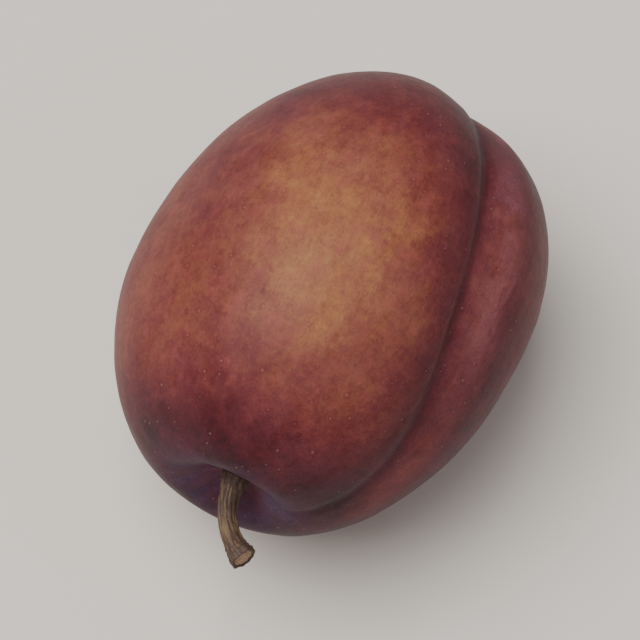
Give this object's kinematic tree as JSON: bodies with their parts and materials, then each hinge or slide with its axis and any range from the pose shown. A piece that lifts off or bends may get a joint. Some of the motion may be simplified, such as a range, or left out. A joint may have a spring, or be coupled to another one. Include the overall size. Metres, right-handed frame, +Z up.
{
  "type": "plum",
  "caption": "Small oval red plum with a suture groove and a short woody stalk, lying on its side as picked.",
  "frame": {"origin": "middle of the underside of the whole part, on the flat spot that the plum rests on", "axes": "+Z up from the surface it lies on, +Y along the fruit from its stalk end to its tip, +X across it towards the suture"},
  "size_m": [0.0334, 0.0464, 0.0327],
  "materials": {
    "plum_skin": "satin skin with waxy bloom",
    "plum_stalk": "dry fibrous bark"
  },
  "bodies": {
    "root": {"fruit": "plum_skin", "stalk": "plum_stalk"}
  },
  "joints": []
}
